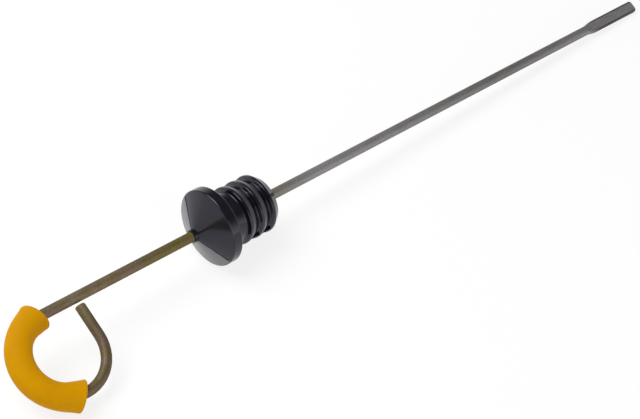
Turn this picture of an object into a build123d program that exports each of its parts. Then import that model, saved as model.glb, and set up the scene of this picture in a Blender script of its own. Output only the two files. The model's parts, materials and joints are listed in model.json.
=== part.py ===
"""Oil dipstick: a wire rod with a finger loop and a coined blade, a moulded grip and a rubber plug.

It lies as it comes to rest, on the blade's tip, the plug's flange and the grip's lower end.
The origin is the middle of the flange's seat, on the rod's axis. +X runs to the blade, +Z is up.
All sizes are in millimetres and degrees.
"""

import os
from math import asin, atan, cos, degrees, radians, sin, sqrt

from build123d import *

os.makedirs("parts", exist_ok=True)

# Rod and finger loop
rod_diameter = 4.76
seat_to_tip = 288.0
seat_to_loop = 96.5
loop_radius = 18.7  # to the wire's centre line
loop_turn = 270.0
tail_gap = 1.3  # from the cut end to the rod
cut_radius = 0.8  # of the cut end's edge

# Blade, coined from the end of the rod
blade_length = 38.5
blade_width = 6.2
blade_thickness = 2.7
blade_flare = 7.0  # length over which the wire spreads
die_radius = 5.0  # left on the shoulder by the coining die
tip_corner_radius = 1.6
bulge_radius = 1.2  # of the edges that coining pushes out
coining_depth = 0.3  # taken off each side of the spread wire by the die
flare_inset = 0.2  # the spread starts this far under the rod's surface
flare_slope = 0.1  # of the spread where it leaves the rod

# Moulded grip: it follows the loop, and runs straight on at both ends
grip_start = 17.0  # turn round the loop from the rod to the grip's bent part
grip_turn = 137.3  # of the bent part
upper_run = 4.7  # length of the straight end beside the rod
lower_run = 6.0  # length of the other straight end
upper_lean = 7.0  # an end face leans, so that its side inside the loop stands out
lower_lean = 12.0
grip_diameter = 11.8
grip_end_diameter = 14.4
grip_flare = 12.4  # length over which each end widens
grip_edge_radius = 0.7

# Rubber plug
flange_diameter = 36.4
flange_thickness = 5.0
cone_rise = 7.2
collar_wall = 0.7
collar_length = 2.0
rim_radius = 0.8
rib_diameter = 27.6
rib_height = 1.7
rib_count = 3
rib_pitch = 6.65
rib_land = 1.2
rib_back = 0.9  # length of the steep side of a rib
first_rib = 8.8
crest_radius = 0.3  # of the edges of a rib's land
root_radius = 0.5  # in the corners of the grooves
nose_diameter = 22.4
nose_length = 3.6  # from the last rib to the plug's end
nose_radius = 0.8

# Fin on the plug where the two halves of its mould met, in the loop's plane
fin_thickness = 0.5
fin_height = 0.25
fin_inset = 0.2  # below the crests of the ribs
fin_root = 1.0  # depth to which the fin joins the plug

rod_radius = rod_diameter / 2
half_width = blade_width / 2
half_thickness = blade_thickness / 2
edge_inset = bulge_radius - sqrt(bulge_radius**2 - (bulge_radius - coining_depth) ** 2)
grip_end_radius = grip_end_diameter / 2
flange_radius = flange_diameter / 2
collar_radius = rod_radius + collar_wall
rib_radius = rib_diameter / 2
groove_radius = rib_radius - rib_height
shoulder = seat_to_tip - blade_length
tail_length = loop_radius - rod_radius - tail_gap
cone_start = -flange_thickness - cone_rise
last_rib = first_rib + (rib_count - 1) * rib_pitch
nose_start = last_rib + rib_land
plug_end = nose_start + nose_length
cone_slope = cone_rise / (flange_radius - collar_radius)
fin_start = (rod_radius + collar_radius) / 2
fin_end = flange_radius - rim_radius
fin_end_x = cone_start + cone_slope * (fin_end - collar_radius)

# Middle of the rounded edge at the grip's lower end, in the stick's own plane, and the way that end faces
grip_finish = radians(grip_start + grip_turn)
face_turn = radians(grip_start + grip_turn - lower_lean)
grip_end_x = -seat_to_loop - loop_radius * sin(grip_finish) - lower_run * cos(grip_finish)
grip_end_x += grip_edge_radius * cos(face_turn)
grip_end_y = -loop_radius + loop_radius * cos(grip_finish) - lower_run * sin(grip_finish)
grip_end_y += grip_edge_radius * sin(face_turn)

# Rest: the tip drops until blade and flange both touch, and the rod rolls until the grip touches too.
# A drop is the depth of a piece's lowest edge below the rod's axis.
tilt = 0.0
roll = 0.0
for step in range(20):
    steepest = sqrt(sin(tilt) ** 2 + (sin(roll) * cos(tilt)) ** 2)
    corner_drop = (tip_corner_radius - edge_inset) * steepest / cos(tilt)
    tip_drop = (half_width - tip_corner_radius) * sin(roll) + half_thickness * cos(roll) + corner_drop
    flange_drop = flange_radius - rim_radius + rim_radius / cos(tilt)
    tilt = atan((flange_drop - tip_drop) / (seat_to_tip - tip_corner_radius + rim_radius))
    grip_slant = -cos(face_turn) * sin(tilt) + sin(face_turn) * sin(roll) * cos(tilt)
    grip_drop = (grip_end_radius - grip_edge_radius) * sqrt(1 - grip_slant**2) + grip_edge_radius
    floor = flange_drop * cos(tilt) - rim_radius * sin(tilt)
    roll = asin((floor - grip_drop - grip_end_x * sin(tilt)) / (-grip_end_y * cos(tilt)))

# The stick's own plane holds the rod and the loop: x to the blade, y away from the loop
stick = Plane(
    origin=(0, 0, 0),
    x_dir=(cos(tilt), 0, -sin(tilt)),
    z_dir=(sin(tilt) * cos(roll), -sin(roll), cos(tilt) * cos(roll)),
)
side = Plane(stick.origin, x_dir=stick.x_dir, z_dir=-stick.y_dir)
rod_axis = Axis(stick.origin, stick.x_dir)
loop_middle = stick.from_local_coords(Vector(-seat_to_loop, -loop_radius, 0))
loop_axis = Axis(loop_middle, stick.z_dir)


def across_loop(turn):
    """Plane square to the wire, a number of degrees round the loop from the rod."""
    angle = radians(turn)
    outwards = stick.y_dir * cos(angle) - stick.x_dir * sin(angle)
    heading = -stick.x_dir * cos(angle) - stick.y_dir * sin(angle)
    return Plane(loop_middle + outwards * loop_radius, x_dir=stick.z_dir, z_dir=heading)


# Spread end of the wire, before the die: its outline in plan, with bulging edges
with BuildPart() as spread_end:
    with BuildSketch(stick) as plan:
        with BuildLine():
            start = Line((shoulder, 0), (shoulder, rod_radius - flare_inset))
            spread = Spline(
                start @ 1,
                (shoulder + blade_flare, half_width),
                tangents=((1, flare_slope), (1, 0)),
            )
            edge = Line(spread @ 1, (seat_to_tip, half_width))
            Line(edge @ 1, (seat_to_tip, 0))
            mirror(about=Plane.XZ)
        make_face()
        fillet(plan.vertices().group_by(Axis.X)[-1], tip_corner_radius)
    extrude(amount=half_thickness + coining_depth, both=True)
    rims = spread_end.faces().filter_by(stick).edges()
    fillet(rims - rims.group_by(rod_axis)[0], bulge_radius)

# Rod: straight shank, bent loop, cut tail and spread end, then the two faces that the die coins flat
with BuildPart() as dipstick_rod:
    with BuildSketch(across_loop(0)):
        Circle(rod_radius)
    extrude(amount=-(seat_to_loop + shoulder + blade_flare))
    with BuildSketch(across_loop(0)):
        Circle(rod_radius)
    revolve(axis=loop_axis, revolution_arc=loop_turn)
    with BuildSketch(across_loop(loop_turn)):
        Circle(rod_radius)
    extrude(amount=tail_length)
    tail_end = dipstick_rod.faces().sort_by_distance(
        across_loop(loop_turn).from_local_coords(Vector(0, 0, tail_length))
    )[0]
    fillet(tail_end.edges(), cut_radius)
    add(spread_end.part)
    die_depth = rod_radius - half_thickness
    die_run = sqrt(2 * die_radius * die_depth - die_depth**2)
    die_centre = (shoulder + die_run, half_thickness + die_radius)
    die_end = seat_to_tip + blade_width
    with BuildSketch(side):
        with BuildLine():
            die_corner = CenterArc(die_centre, die_radius, 180, 90)
            Polyline(
                die_corner @ 1,
                (die_end, half_thickness),
                (die_end, half_thickness + die_radius),
                die_corner @ 0,
            )
        make_face()
        mirror(about=Plane.XZ)
    extrude(amount=blade_width, both=True, mode=Mode.SUBTRACT)
dipstick_rod.part.label = "dipstick_rod"
export_step(dipstick_rod.part, "parts/dipstick_rod.step")

# Grip: round sections along the loop, wider at both straight ends, moulded round the wire
with BuildPart() as loop_grip:
    with BuildLine(stick) as grip_line:
        bend = CenterArc((-seat_to_loop, -loop_radius), loop_radius, 90 + grip_start, grip_turn)
        Line(bend @ 0 - (bend % 0) * upper_run, bend @ 0)
        Line(bend @ 1, bend @ 1 + (bend % 1) * lower_run)
    grip_path = grip_line.wire()
    flare_share = grip_flare / grip_path.length
    leans = {0: upper_lean, 1: -lower_lean}
    for share in (0, flare_share, 0.5, 1 - flare_share, 1):
        heading = (grip_path % share).rotate(Axis(stick.origin, stick.z_dir), leans.get(share, 0))
        with BuildSketch(Plane(grip_path @ share, x_dir=stick.z_dir, z_dir=heading)):
            Circle(grip_end_radius if share in leans else grip_diameter / 2)
    sweep(path=grip_path, multisection=True)
    fillet(loop_grip.faces().filter_by(GeomType.PLANE).edges(), grip_edge_radius)
    add(dipstick_rod.part, mode=Mode.SUBTRACT)
loop_grip.part.label = "loop_grip"
export_step(loop_grip.part, "parts/loop_grip.step")

# Plug: one turned section with coned cap, flange, barbed ribs and nose, then the mould's fin
with BuildPart() as rubber_plug:
    section_points = [
        (cone_start - collar_length, rod_radius),
        (cone_start - collar_length, collar_radius),
        (cone_start, collar_radius),
        (-flange_thickness, flange_radius),
        (0, flange_radius),
        (0, groove_radius),
    ]
    for rib in range(rib_count):
        crest = first_rib + rib * rib_pitch
        section_points += [
            (crest - rib_back, groove_radius),
            (crest, rib_radius),
            (crest + rib_land, rib_radius),
        ]
    section_points += [(plug_end, nose_diameter / 2), (plug_end, rod_radius)]
    corner_radii = {
        flange_radius: rim_radius,
        groove_radius: root_radius,
        rib_radius: crest_radius,
        nose_diameter / 2: nose_radius,
    }
    with BuildSketch(stick) as section:
        with BuildLine():
            Polyline(*section_points, close=True)
        make_face()
        for height, radius in corner_radii.items():
            fillet(section.vertices().filter_by(lambda v: abs(v.Y - height) < 0.01), radius)
    revolve(axis=rod_axis)
    with BuildSketch(stick):
        with BuildLine():
            Polyline(
                (cone_start + fin_root, fin_start),
                (cone_start - fin_height, fin_start),
                (fin_end_x - fin_height, fin_end),
                (fin_end_x + fin_root, fin_end),
                close=True,
            )
        make_face()
        with BuildLine():
            Polyline(
                (first_rib, groove_radius - fin_root),
                (first_rib, rib_radius - fin_inset),
                (last_rib, rib_radius - fin_inset),
                (last_rib, groove_radius - fin_root),
                close=True,
            )
        make_face()
        mirror(about=Plane.XZ)
    extrude(amount=fin_thickness / 2, both=True)
rubber_plug.part.label = "rubber_plug"
export_step(rubber_plug.part, "parts/rubber_plug.step")

print(f"tilt {degrees(tilt):.3f} degrees, roll {degrees(roll):.3f} degrees")
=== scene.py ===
import json
import math

import bpy
from mathutils import Matrix, Quaternion, Vector


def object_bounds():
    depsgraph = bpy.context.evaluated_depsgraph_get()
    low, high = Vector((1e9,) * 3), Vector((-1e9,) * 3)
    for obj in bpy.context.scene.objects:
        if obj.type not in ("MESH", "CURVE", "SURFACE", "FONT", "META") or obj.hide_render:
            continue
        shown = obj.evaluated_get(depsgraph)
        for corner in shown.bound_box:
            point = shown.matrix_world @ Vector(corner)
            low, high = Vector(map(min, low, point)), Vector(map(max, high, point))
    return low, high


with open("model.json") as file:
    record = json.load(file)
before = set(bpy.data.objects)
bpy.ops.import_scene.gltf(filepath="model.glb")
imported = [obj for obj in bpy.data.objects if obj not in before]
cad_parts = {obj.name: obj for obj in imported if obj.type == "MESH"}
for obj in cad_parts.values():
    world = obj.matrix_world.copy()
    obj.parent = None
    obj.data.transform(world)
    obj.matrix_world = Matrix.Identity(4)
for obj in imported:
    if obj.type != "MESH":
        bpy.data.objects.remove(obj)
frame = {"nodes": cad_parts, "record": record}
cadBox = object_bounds()
nodes = frame["nodes"]
scene = bpy.context.scene
scene.view_settings.view_transform = "Standard"
print("frame loaded:", ", ".join(sorted(nodes)))

# the stick's own axes: along the rod to the blade, away from the loop, and up from the loop's plane
mounts = {mount["name"]: mount for mount in frame["record"]["mounts"]}
seatPoint = Vector(mounts["tube_mouth_seat"]["pos_m"])
stickAlong = Vector(mounts["tube_mouth_seat"]["axis"]).normalized()
gripPoints = [vertex.co for vertex in nodes["loop_grip"].data.vertices]
gripMiddle = sum(gripPoints, Vector()) / len(gripPoints) - seatPoint
stickAway = (gripMiddle.dot(stickAlong) * stickAlong - gripMiddle).normalized()
stickUp = stickAlong.cross(stickAway)
stickTurn = Matrix((stickAlong, stickAway, stickUp)).to_euler()  # turns frame places into stick places
mmPerMetre = 1000.0


def newGroup(name, inputs, outputs):
    group = bpy.data.node_groups.new(name, "ShaderNodeTree")
    for socketName, socketType, value in inputs:
        socket = group.interface.new_socket(socketName, in_out="INPUT", socket_type=socketType)
        if value is not None:
            socket.default_value = value
    for socketName, socketType in outputs:
        group.interface.new_socket(socketName, in_out="OUTPUT", socket_type=socketType)
    return group, group.nodes.new("NodeGroupInput"), group.nodes.new("NodeGroupOutput")


def addNode(tree, kind, settings=None, **values):
    node = tree.nodes.new("ShaderNode" + kind)
    for key, value in (settings or {}).items():
        setattr(node, key, value)
    for key, value in values.items():
        node.inputs[key].default_value = value
    return node


def mathNode(tree, operation, first, second):
    node = addNode(tree, "Math", {"operation": operation})
    for socket, value in zip(node.inputs, (first, second)):
        if isinstance(value, (int, float)):
            socket.default_value = value
        else:
            tree.links.new(value, socket)
    return node.outputs[0]


def mapRange(tree, source, fromLow, fromHigh, toLow, toHigh, smooth=False):
    node = addNode(tree, "MapRange", {"interpolation_type": "SMOOTHSTEP" if smooth else "LINEAR"})
    tree.links.new(source, node.inputs["Value"])
    ends = {"From Min": fromLow, "From Max": fromHigh, "To Min": toLow, "To Max": toHigh}
    for key, value in ends.items():
        node.inputs[key].default_value = value
    return node.outputs["Result"]


def mixColour(tree, factor, first, second, blend="MIX"):
    node = addNode(tree, "Mix", {"data_type": "RGBA", "blend_type": blend})
    sockets = node.inputs[0], node.inputs[6], node.inputs[7]  # the factor and the two colours
    for socket, value in zip(sockets, (factor, first, second)):
        if isinstance(value, (int, float)):
            socket.default_value = value
        elif isinstance(value, tuple):
            socket.default_value = (*value, 1.0)
        else:
            tree.links.new(value, socket)
    return node.outputs[2]


def colourRamp(tree, source, stops):
    node = addNode(tree, "ValToRGB")
    ramp = node.color_ramp
    while len(ramp.elements) < len(stops):
        ramp.elements.new(0.5)
    for element, (place, colour) in zip(ramp.elements, stops):
        element.position = place
        element.color = (*colour, 1.0)
    tree.links.new(source, node.inputs["Fac"])
    return node.outputs["Color"]


def grey(level):
    return (level, level, level, 1.0)


# where a point lies on the stick: in millimetres, and its angle round the rod in radians
def makeStickPlace():
    group, _, out = newGroup(
        "stickPlace", [],
        [("Place", "NodeSocketVector"), ("Along", "NodeSocketFloat"), ("Up", "NodeSocketFloat"),
         ("Radius", "NodeSocketFloat"), ("Around", "NodeSocketFloat")])
    coord = addNode(group, "TexCoord")
    turn = addNode(group, "Mapping", {"vector_type": "POINT"}, Rotation=stickTurn, Scale=[mmPerMetre] * 3)
    group.links.new(coord.outputs["Object"], turn.inputs["Vector"])
    split = addNode(group, "SeparateXYZ")
    group.links.new(turn.outputs["Vector"], split.inputs["Vector"])
    across = addNode(group, "CombineXYZ")
    group.links.new(split.outputs["Y"], across.inputs["Y"])
    group.links.new(split.outputs["Z"], across.inputs["Z"])
    reach = addNode(group, "VectorMath", {"operation": "LENGTH"})
    group.links.new(across.outputs["Vector"], reach.inputs[0])
    around = mathNode(group, "ARCTAN2", split.outputs["Z"], split.outputs["Y"])
    group.links.new(turn.outputs["Vector"], out.inputs["Place"])
    group.links.new(split.outputs["X"], out.inputs["Along"])
    group.links.new(split.outputs["Z"], out.inputs["Up"])
    group.links.new(reach.outputs["Value"], out.inputs["Radius"])
    group.links.new(around, out.inputs["Around"])
    return group


# patches of uneven finish: 0 to 1
def makePatches():
    group, given, out = newGroup(
        "unevenPatches",
        [("Place", "NodeSocketVector", None), ("Scale", "NodeSocketFloat", 0.2),
         ("Sharpness", "NodeSocketFloat", 0.5)],
        [("Mask", "NodeSocketFloat")])
    noise = addNode(group, "TexNoise", Detail=5.0, Roughness=0.6)
    group.links.new(given.outputs["Place"], noise.inputs["Vector"])
    group.links.new(given.outputs["Scale"], noise.inputs["Scale"])
    low = mathNode(group, "MULTIPLY", given.outputs["Sharpness"], 0.5)  # sharp patches rise over less noise
    spread = addNode(group, "MapRange", {"interpolation_type": "SMOOTHSTEP"})
    group.links.new(noise.outputs["Fac"], spread.inputs["Value"])
    group.links.new(low, spread.inputs["From Min"])
    group.links.new(mathNode(group, "SUBTRACT", 1.0, low), spread.inputs["From Max"])
    group.links.new(spread.outputs["Result"], out.inputs["Mask"])
    return group


# fine skin that a mould leaves: a height
def makeMouldSkin():
    group, given, out = newGroup(
        "mouldSkin",
        [("Place", "NodeSocketVector", None), ("Grain", "NodeSocketFloat", 4.0),
         ("Waviness", "NodeSocketFloat", 0.5)],
        [("Height", "NodeSocketFloat")])
    grain = addNode(group, "TexNoise", Detail=3.0, Roughness=0.55)
    wave = addNode(group, "TexNoise", Scale=0.18, Detail=1.0)
    for noise in (grain, wave):
        group.links.new(given.outputs["Place"], noise.inputs["Vector"])
    group.links.new(given.outputs["Grain"], grain.inputs["Scale"])
    waves = mathNode(group, "MULTIPLY", wave.outputs["Fac"], given.outputs["Waviness"])
    group.links.new(mathNode(group, "ADD", grain.outputs["Fac"], waves), out.inputs["Height"])
    return group


groups = {"place": makeStickPlace(), "patches": makePatches(), "skin": makeMouldSkin()}
print("shared effects made:", ", ".join(group.name for group in groups.values()))


def startMaterial(name):
    material = bpy.data.materials.new(name)
    material.use_nodes = True
    tree = material.node_tree
    shader = tree.nodes["Principled BSDF"]
    place = addNode(tree, "Group", {"node_tree": groups["place"]})
    return material, tree, shader, place


def addPatches(tree, place, scale, sharpness):
    node = addNode(tree, "Group", {"node_tree": groups["patches"]}, Scale=scale, Sharpness=sharpness)
    tree.links.new(place.outputs["Place"], node.inputs["Place"])
    return node.outputs["Mask"]


def addBump(tree, shader, height, strength, distance):
    bump = addNode(tree, "Bump", Strength=strength, Distance=distance)
    tree.links.new(height, bump.inputs["Height"])
    tree.links.new(bump.outputs["Normal"], shader.inputs["Normal"])


def addSkin(tree, shader, place, grain, waviness, bump):
    node = addNode(tree, "Group", {"node_tree": groups["skin"]}, Grain=grain, Waviness=waviness)
    tree.links.new(place.outputs["Place"], node.inputs["Place"])
    addBump(tree, shader, node.outputs["Height"], *bump)


# spans are in millimetres from the seat, reaches in millimetres from the rod's axis
plating = {
    "span": (-122.0, 290.0),
    "colours": (  # share of the span, colour
        (0.00, (0.235, 0.168, 0.102)),
        (0.10, (0.285, 0.230, 0.150)),
        (0.19, (0.235, 0.180, 0.096)),
        (0.23, (0.240, 0.190, 0.060)),
        (0.26, (0.240, 0.205, 0.040)),
        (0.35, (0.255, 0.240, 0.190)),
        (0.44, (0.370, 0.360, 0.358)),
        (0.75, (0.275, 0.266, 0.260)),
        (1.00, (0.395, 0.380, 0.385)),
    ),
    "loopFilm": (0.175, 0.115, 0.072),  # browner where the wire was bent
    "loopReach": (4.0, 16.0),
    "loopAmount": 0.65,
    "filmSpan": (60.0, -40.0),  # pink and olive films grow towards the loop
    "films": (  # colour, scale and sharpness of its patches, amount
        ((0.275, 0.175, 0.165), 0.20, 0.75, 0.65),
        ((0.185, 0.175, 0.055), 0.31, 0.70, 0.55),
    ),
    "edge": (0.090, 0.087, 0.088),  # painted shade along the blade's edges
    "bladeSpan": (252.0, 258.0),  # over which the edges darken
    "edgeReach": (2.35, 2.85),  # the blade's edge lies at 3.1
    "edgeShadeAmount": 0.8,
    "lineStretch": (0.05, 4.0),  # drawing lines: along the wire and around it
    "lineScale": 2.2,
    "lineSpread": (0.35, 0.65),  # part of the lines' noise that shades the wire
    "lineShade": (0.80, 1.10),
    "specks": (1.3, 0.6),  # scale and sharpness
    "speckShade": (0.86, 1.10),
    "metallic": 0.9,
    "roughSpread": (0.3, 0.7),  # part of the lines' noise that roughens the wire
    "roughness": (0.58, 0.74),
    "edgeTint": (0.25, 0.24, 0.24, 1.0),  # dims the wire where it turns away
    "bump": (0.05, 0.00008),  # strength, height in metres
}


def makePlating():
    material, tree, shader, place = startMaterial("chromatePlating")
    along, radius, around = (place.outputs[key] for key in ("Along", "Radius", "Around"))
    colour = colourRamp(tree, mapRange(tree, along, *plating["span"], 0.0, 1.0), plating["colours"])
    onLoop = mapRange(tree, radius, *plating["loopReach"], 0.0, plating["loopAmount"], smooth=True)
    colour = mixColour(tree, onLoop, colour, plating["loopFilm"])
    for film, scale, sharpness, amount in plating["films"]:
        grown = mapRange(tree, along, *plating["filmSpan"], 0.0, amount, smooth=True)
        patches = mathNode(tree, "MULTIPLY", addPatches(tree, place, scale, sharpness), grown)
        colour = mixColour(tree, patches, colour, film)
    # painted shade: the blade's edges are coloured darker than its faces
    onBlade = mapRange(tree, along, *plating["bladeSpan"], 0.0, 1.0)
    paintedEdgeShade = mapRange(tree, radius, *plating["edgeReach"], 0.0, plating["edgeShadeAmount"], smooth=True)
    colour = mixColour(tree, mathNode(tree, "MULTIPLY", onBlade, paintedEdgeShade), colour, plating["edge"])
    # drawing lines along the wire, and specks
    lines = addNode(tree, "CombineXYZ")
    stretchAlong, stretchAround = plating["lineStretch"]
    tree.links.new(mathNode(tree, "MULTIPLY", along, stretchAlong), lines.inputs["X"])
    tree.links.new(mathNode(tree, "MULTIPLY", around, stretchAround), lines.inputs["Y"])
    streak = addNode(tree, "TexNoise", Scale=plating["lineScale"], Detail=3.0, Roughness=0.6)
    tree.links.new(lines.outputs["Vector"], streak.inputs["Vector"])
    lineShade = mapRange(tree, streak.outputs["Fac"], *plating["lineSpread"], *plating["lineShade"])
    specks = addPatches(tree, place, *plating["specks"])
    speckShade = mapRange(tree, specks, 0.0, 1.0, *plating["speckShade"])
    darker = mathNode(tree, "MULTIPLY", lineShade, speckShade)
    shade = addNode(tree, "CombineColor")
    for channel in ("Red", "Green", "Blue"):
        tree.links.new(darker, shade.inputs[channel])
    colour = mixColour(tree, 1.0, colour, shade.outputs["Color"], blend="MULTIPLY")
    tree.links.new(colour, shader.inputs["Base Color"])
    roughness = mapRange(tree, streak.outputs["Fac"], *plating["roughSpread"], *plating["roughness"])
    tree.links.new(roughness, shader.inputs["Roughness"])
    shader.inputs["Metallic"].default_value = plating["metallic"]
    shader.inputs["Specular Tint"].default_value = plating["edgeTint"]
    addBump(tree, shader, streak.outputs["Fac"], *plating["bump"])
    return material


gripPlastic = {
    "colour": (0.680, 0.320, 0.0),
    "shade": (0.620, 0.280, 0.0),
    "patches": (0.09, 0.3),  # scale and sharpness
    "roughness": (0.50, 0.62),
    "specular": 0.05,
    "grain": 0.6,
    "waviness": 0.8,
    "bump": (0.03, 0.0001),  # strength, height in metres
}


def makeGripPlastic():
    material, tree, shader, place = startMaterial("yellowGrip")
    patches = addPatches(tree, place, *gripPlastic["patches"])
    colour = mixColour(tree, patches, gripPlastic["colour"], gripPlastic["shade"])
    tree.links.new(colour, shader.inputs["Base Color"])
    roughness = mapRange(tree, patches, 0.0, 1.0, *gripPlastic["roughness"])
    tree.links.new(roughness, shader.inputs["Roughness"])
    shader.inputs["Specular IOR Level"].default_value = gripPlastic["specular"]
    addSkin(tree, shader, place, gripPlastic["grain"], gripPlastic["waviness"], gripPlastic["bump"])
    return material


plugRubber = {
    "colour": (0.004, 0.004, 0.008),
    "bloom": (0.014, 0.014, 0.020),  # grey bloom on moulded rubber
    "bloomPatches": (0.22, 0.4),  # scale and sharpness
    "bloomAmount": 0.35,
    "mattAndPaintedReflection": (0.170, 0.168, 0.176),  # lower mould half of the cap, left matt, and coloured light grey as a painted reflection
    "dullUp": (0.0, -0.3),  # millimetres above the loop's plane
    "capSpan": (-4.6, -5.4),  # millimetres from the seat, across the cap's edge
    "roughness": (0.09, 0.17),
    "dullRoughness": 0.34,
    "tint": (0.86, 0.86, 1.0, 1.0),  # bluish gloss
    "grain": 2.0,
    "waviness": 0.8,
    "bump": (0.05, 0.0001),  # strength, height in metres
}


def makePlugRubber():
    material, tree, shader, place = startMaterial("blackRubber")
    bloomAmount = plugRubber["bloomAmount"]
    bloom = mathNode(tree, "MULTIPLY", addPatches(tree, place, *plugRubber["bloomPatches"]), bloomAmount)
    # painted reflection: below the loop's plane the cap is coloured light grey, and it is also made matt
    lowerHalf = mapRange(tree, place.outputs["Up"], *plugRubber["dullUp"], 0.0, 1.0)
    onCap = mapRange(tree, place.outputs["Along"], *plugRubber["capSpan"], 0.0, 1.0)
    mattAndPaintedReflection = mathNode(tree, "MULTIPLY", lowerHalf, onCap)
    colour = mixColour(tree, bloom, plugRubber["colour"], plugRubber["bloom"])
    tree.links.new(mixColour(tree, mattAndPaintedReflection, colour, plugRubber["mattAndPaintedReflection"]), shader.inputs["Base Color"])
    gloss = mapRange(tree, bloom, 0.0, bloomAmount, *plugRubber["roughness"])
    matt = mathNode(tree, "MULTIPLY", mattAndPaintedReflection, plugRubber["dullRoughness"])
    tree.links.new(mathNode(tree, "MAXIMUM", gloss, matt), shader.inputs["Roughness"])
    shader.inputs["Specular Tint"].default_value = plugRubber["tint"]
    addSkin(tree, shader, place, plugRubber["grain"], plugRubber["waviness"], plugRubber["bump"])
    return material


finishes = {
    "dipstick_rod": ("plated_steel", makePlating()),
    "loop_grip": ("grip_plastic", makeGripPlastic()),
    "rubber_plug": ("plug_rubber", makePlugRubber()),
}
for name, (slotName, material) in finishes.items():
    mesh = nodes[name].data
    mesh.materials.clear()
    mesh.materials.append(material)
print("finishes given to", len(finishes), "pieces")

studio = {
    "floorSize": 6.0,
    "floorAlbedo": 0.88,  # for light that the floor sends back
    "seenAlbedo": 0.20,  # for the shadow that the floor shows
    "seenGlow": 0.82,
    "horizonLevel": 1.00,
    "zenithLevel": 0.15,
    "horizonReach": 0.6,  # height in the sky where the light has sunk to the zenith's level
    "lamps": {  # place and size in metres, power in watts
        "key": ((-0.35, 0.40, 0.95), 0.8, 10.2),
        "fill": ((0.10, -0.90, 0.25), 0.9, 2.8),
    },
}


def makeFloor():
    size = studio["floorSize"] / 2
    height = cadBox[0].z
    mesh = bpy.data.meshes.new("floor")
    corners = [(-size, -size, height), (size, -size, height), (size, size, height), (-size, size, height)]
    mesh.from_pydata(corners, [], [(0, 1, 2, 3)])
    floor = bpy.data.objects.new("floor", mesh)
    scene.collection.objects.link(floor)
    material = bpy.data.materials.new("whiteFloor")
    material.use_nodes = True
    tree = material.node_tree
    tree.nodes.clear()
    output = addNode(tree, "OutputMaterial")
    bounce = addNode(tree, "BsdfDiffuse", Color=grey(studio["floorAlbedo"]))
    seen = addNode(tree, "BsdfDiffuse", Color=grey(studio["seenAlbedo"]))
    glow = addNode(tree, "Emission", Strength=studio["seenGlow"])
    shown = addNode(tree, "AddShader")
    choose = addNode(tree, "MixShader")
    path = addNode(tree, "LightPath")
    # the camera and all gloss see the white floor, and other light bounces off a plain pale one
    mirrored = mathNode(tree, "MAXIMUM", path.outputs["Is Glossy Ray"], path.outputs["Is Transmission Ray"])
    inView = mathNode(tree, "MAXIMUM", path.outputs["Is Camera Ray"], mirrored)
    tree.links.new(seen.outputs["BSDF"], shown.inputs[0])
    tree.links.new(glow.outputs["Emission"], shown.inputs[1])
    tree.links.new(inView, choose.inputs["Fac"])
    tree.links.new(bounce.outputs["BSDF"], choose.inputs[1])
    tree.links.new(shown.outputs["Shader"], choose.inputs[2])
    tree.links.new(choose.outputs["Shader"], output.inputs["Surface"])
    mesh.materials.append(material)


def makeLight():
    world = bpy.data.worlds.new("studio")
    scene.world = world
    world.use_nodes = True
    tree = world.node_tree
    sky = tree.nodes["Background"]
    sky.inputs["Color"].default_value = grey(1.0)
    coord = addNode(tree, "TexCoord")
    split = addNode(tree, "SeparateXYZ")
    tree.links.new(coord.outputs["Generated"], split.inputs["Vector"])
    levels = studio["horizonLevel"], studio["zenithLevel"]
    level = mapRange(tree, split.outputs["Z"], 0.0, studio["horizonReach"], *levels, smooth=True)
    tree.links.new(level, sky.inputs["Strength"])
    for name, (place, size, power) in studio["lamps"].items():
        light = bpy.data.lights.new(name, "AREA")
        light.size = size
        light.energy = power
        lamp = bpy.data.objects.new(name, light)
        lamp.location = place
        lamp.rotation_mode = "QUATERNION"
        lamp.rotation_quaternion = (-Vector(place)).to_track_quat("-Z", "Y")
        scene.collection.objects.link(lamp)


makeFloor()
makeLight()
print("floor and light set")

photoCamera = {
    "place": (-0.40214, -0.45215, 0.58074),  # metres
    "aim": (0.04199, -0.02215, 0.0),
    "roll": 4.6753,  # degrees
    "focalPixels": 1900.0,
    "imageWidth": 640.0,  # pixels
    "sensorWidth": 36.0,  # millimetres
}


def makeCamera():
    data = bpy.data.cameras.new("camera")
    data.sensor_width = photoCamera["sensorWidth"]
    data.lens = photoCamera["focalPixels"] / photoCamera["imageWidth"] * photoCamera["sensorWidth"]
    camera = bpy.data.objects.new("camera", data)
    camera.location = photoCamera["place"]
    camera.rotation_mode = "QUATERNION"
    look = (Vector(photoCamera["aim"]) - Vector(photoCamera["place"])).to_track_quat("-Z", "Y")
    camera.rotation_quaternion = look @ Quaternion((0, 0, 1), math.radians(photoCamera["roll"]))
    scene.collection.objects.link(camera)
    scene.camera = camera


makeCamera()
print("camera set")
